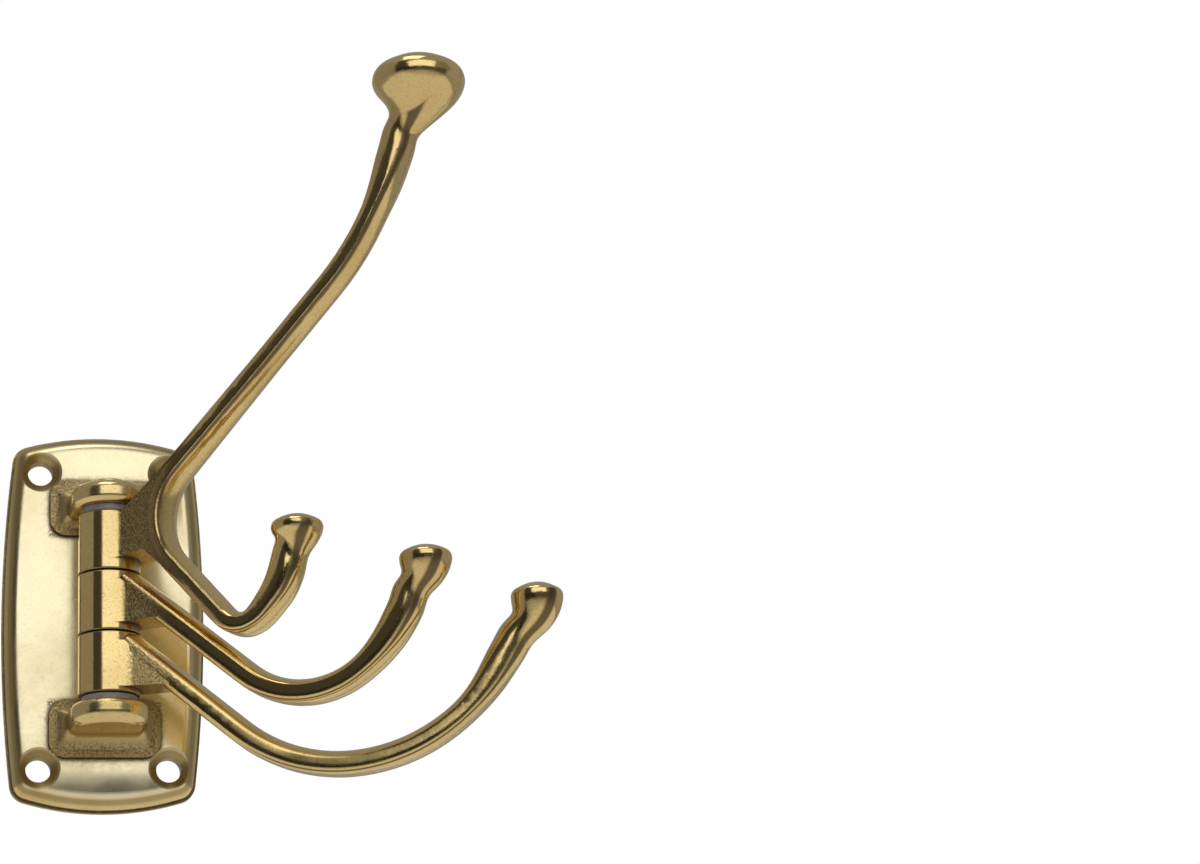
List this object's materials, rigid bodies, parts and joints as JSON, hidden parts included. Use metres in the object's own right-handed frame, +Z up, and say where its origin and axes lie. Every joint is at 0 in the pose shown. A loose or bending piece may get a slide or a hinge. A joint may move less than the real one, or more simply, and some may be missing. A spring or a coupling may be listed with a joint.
{
  "type": "swivelling coat hook",
  "caption": "Wall coat hook with hooked arms that swivel on one upright pivot between the lugs of a screwed back plate.",
  "frame": {"origin": "middle of the back plate's wall face", "axes": "+Z up along the wall, -Y out of the wall towards the room, +X to the right of a person who faces the wall"},
  "size_m": [0.1166, 0.0717, 0.159],
  "materials": {
    "plate_brass": "polished and lacquered cast brass",
    "arm_brass": "polished and lacquered cast brass, pitted in the recesses",
    "screw_brass": "turned brass",
    "washer_grey": "plain grey plastic"
  },
  "bodies": {
    "plate": {"back_plate": "plate_brass", "pivot_screw": "screw_brass", "upper_washer": "washer_grey", "lower_washer": "washer_grey"},
    "top": {"top_arm": "arm_brass"},
    "middle": {"middle_arm": "arm_brass"},
    "lower": {"lower_arm": "arm_brass"}
  },
  "joints": [
    {"name": "top_swing", "type": "hinge", "parent": "plate", "child": "top", "pos_m": [0, -0.0165, 0.0137], "axis": [0, 0, 1], "range_deg": [-145, 35]},
    {"name": "middle_swing", "type": "hinge", "parent": "plate", "child": "middle", "pos_m": [0, -0.0165, 0], "axis": [0, 0, 1], "range_deg": [-150, 30]},
    {"name": "lower_swing", "type": "hinge", "parent": "plate", "child": "lower", "pos_m": [0, -0.0165, -0.0137], "axis": [0, 0, 1], "range_deg": [-158, 22]}
  ]
}
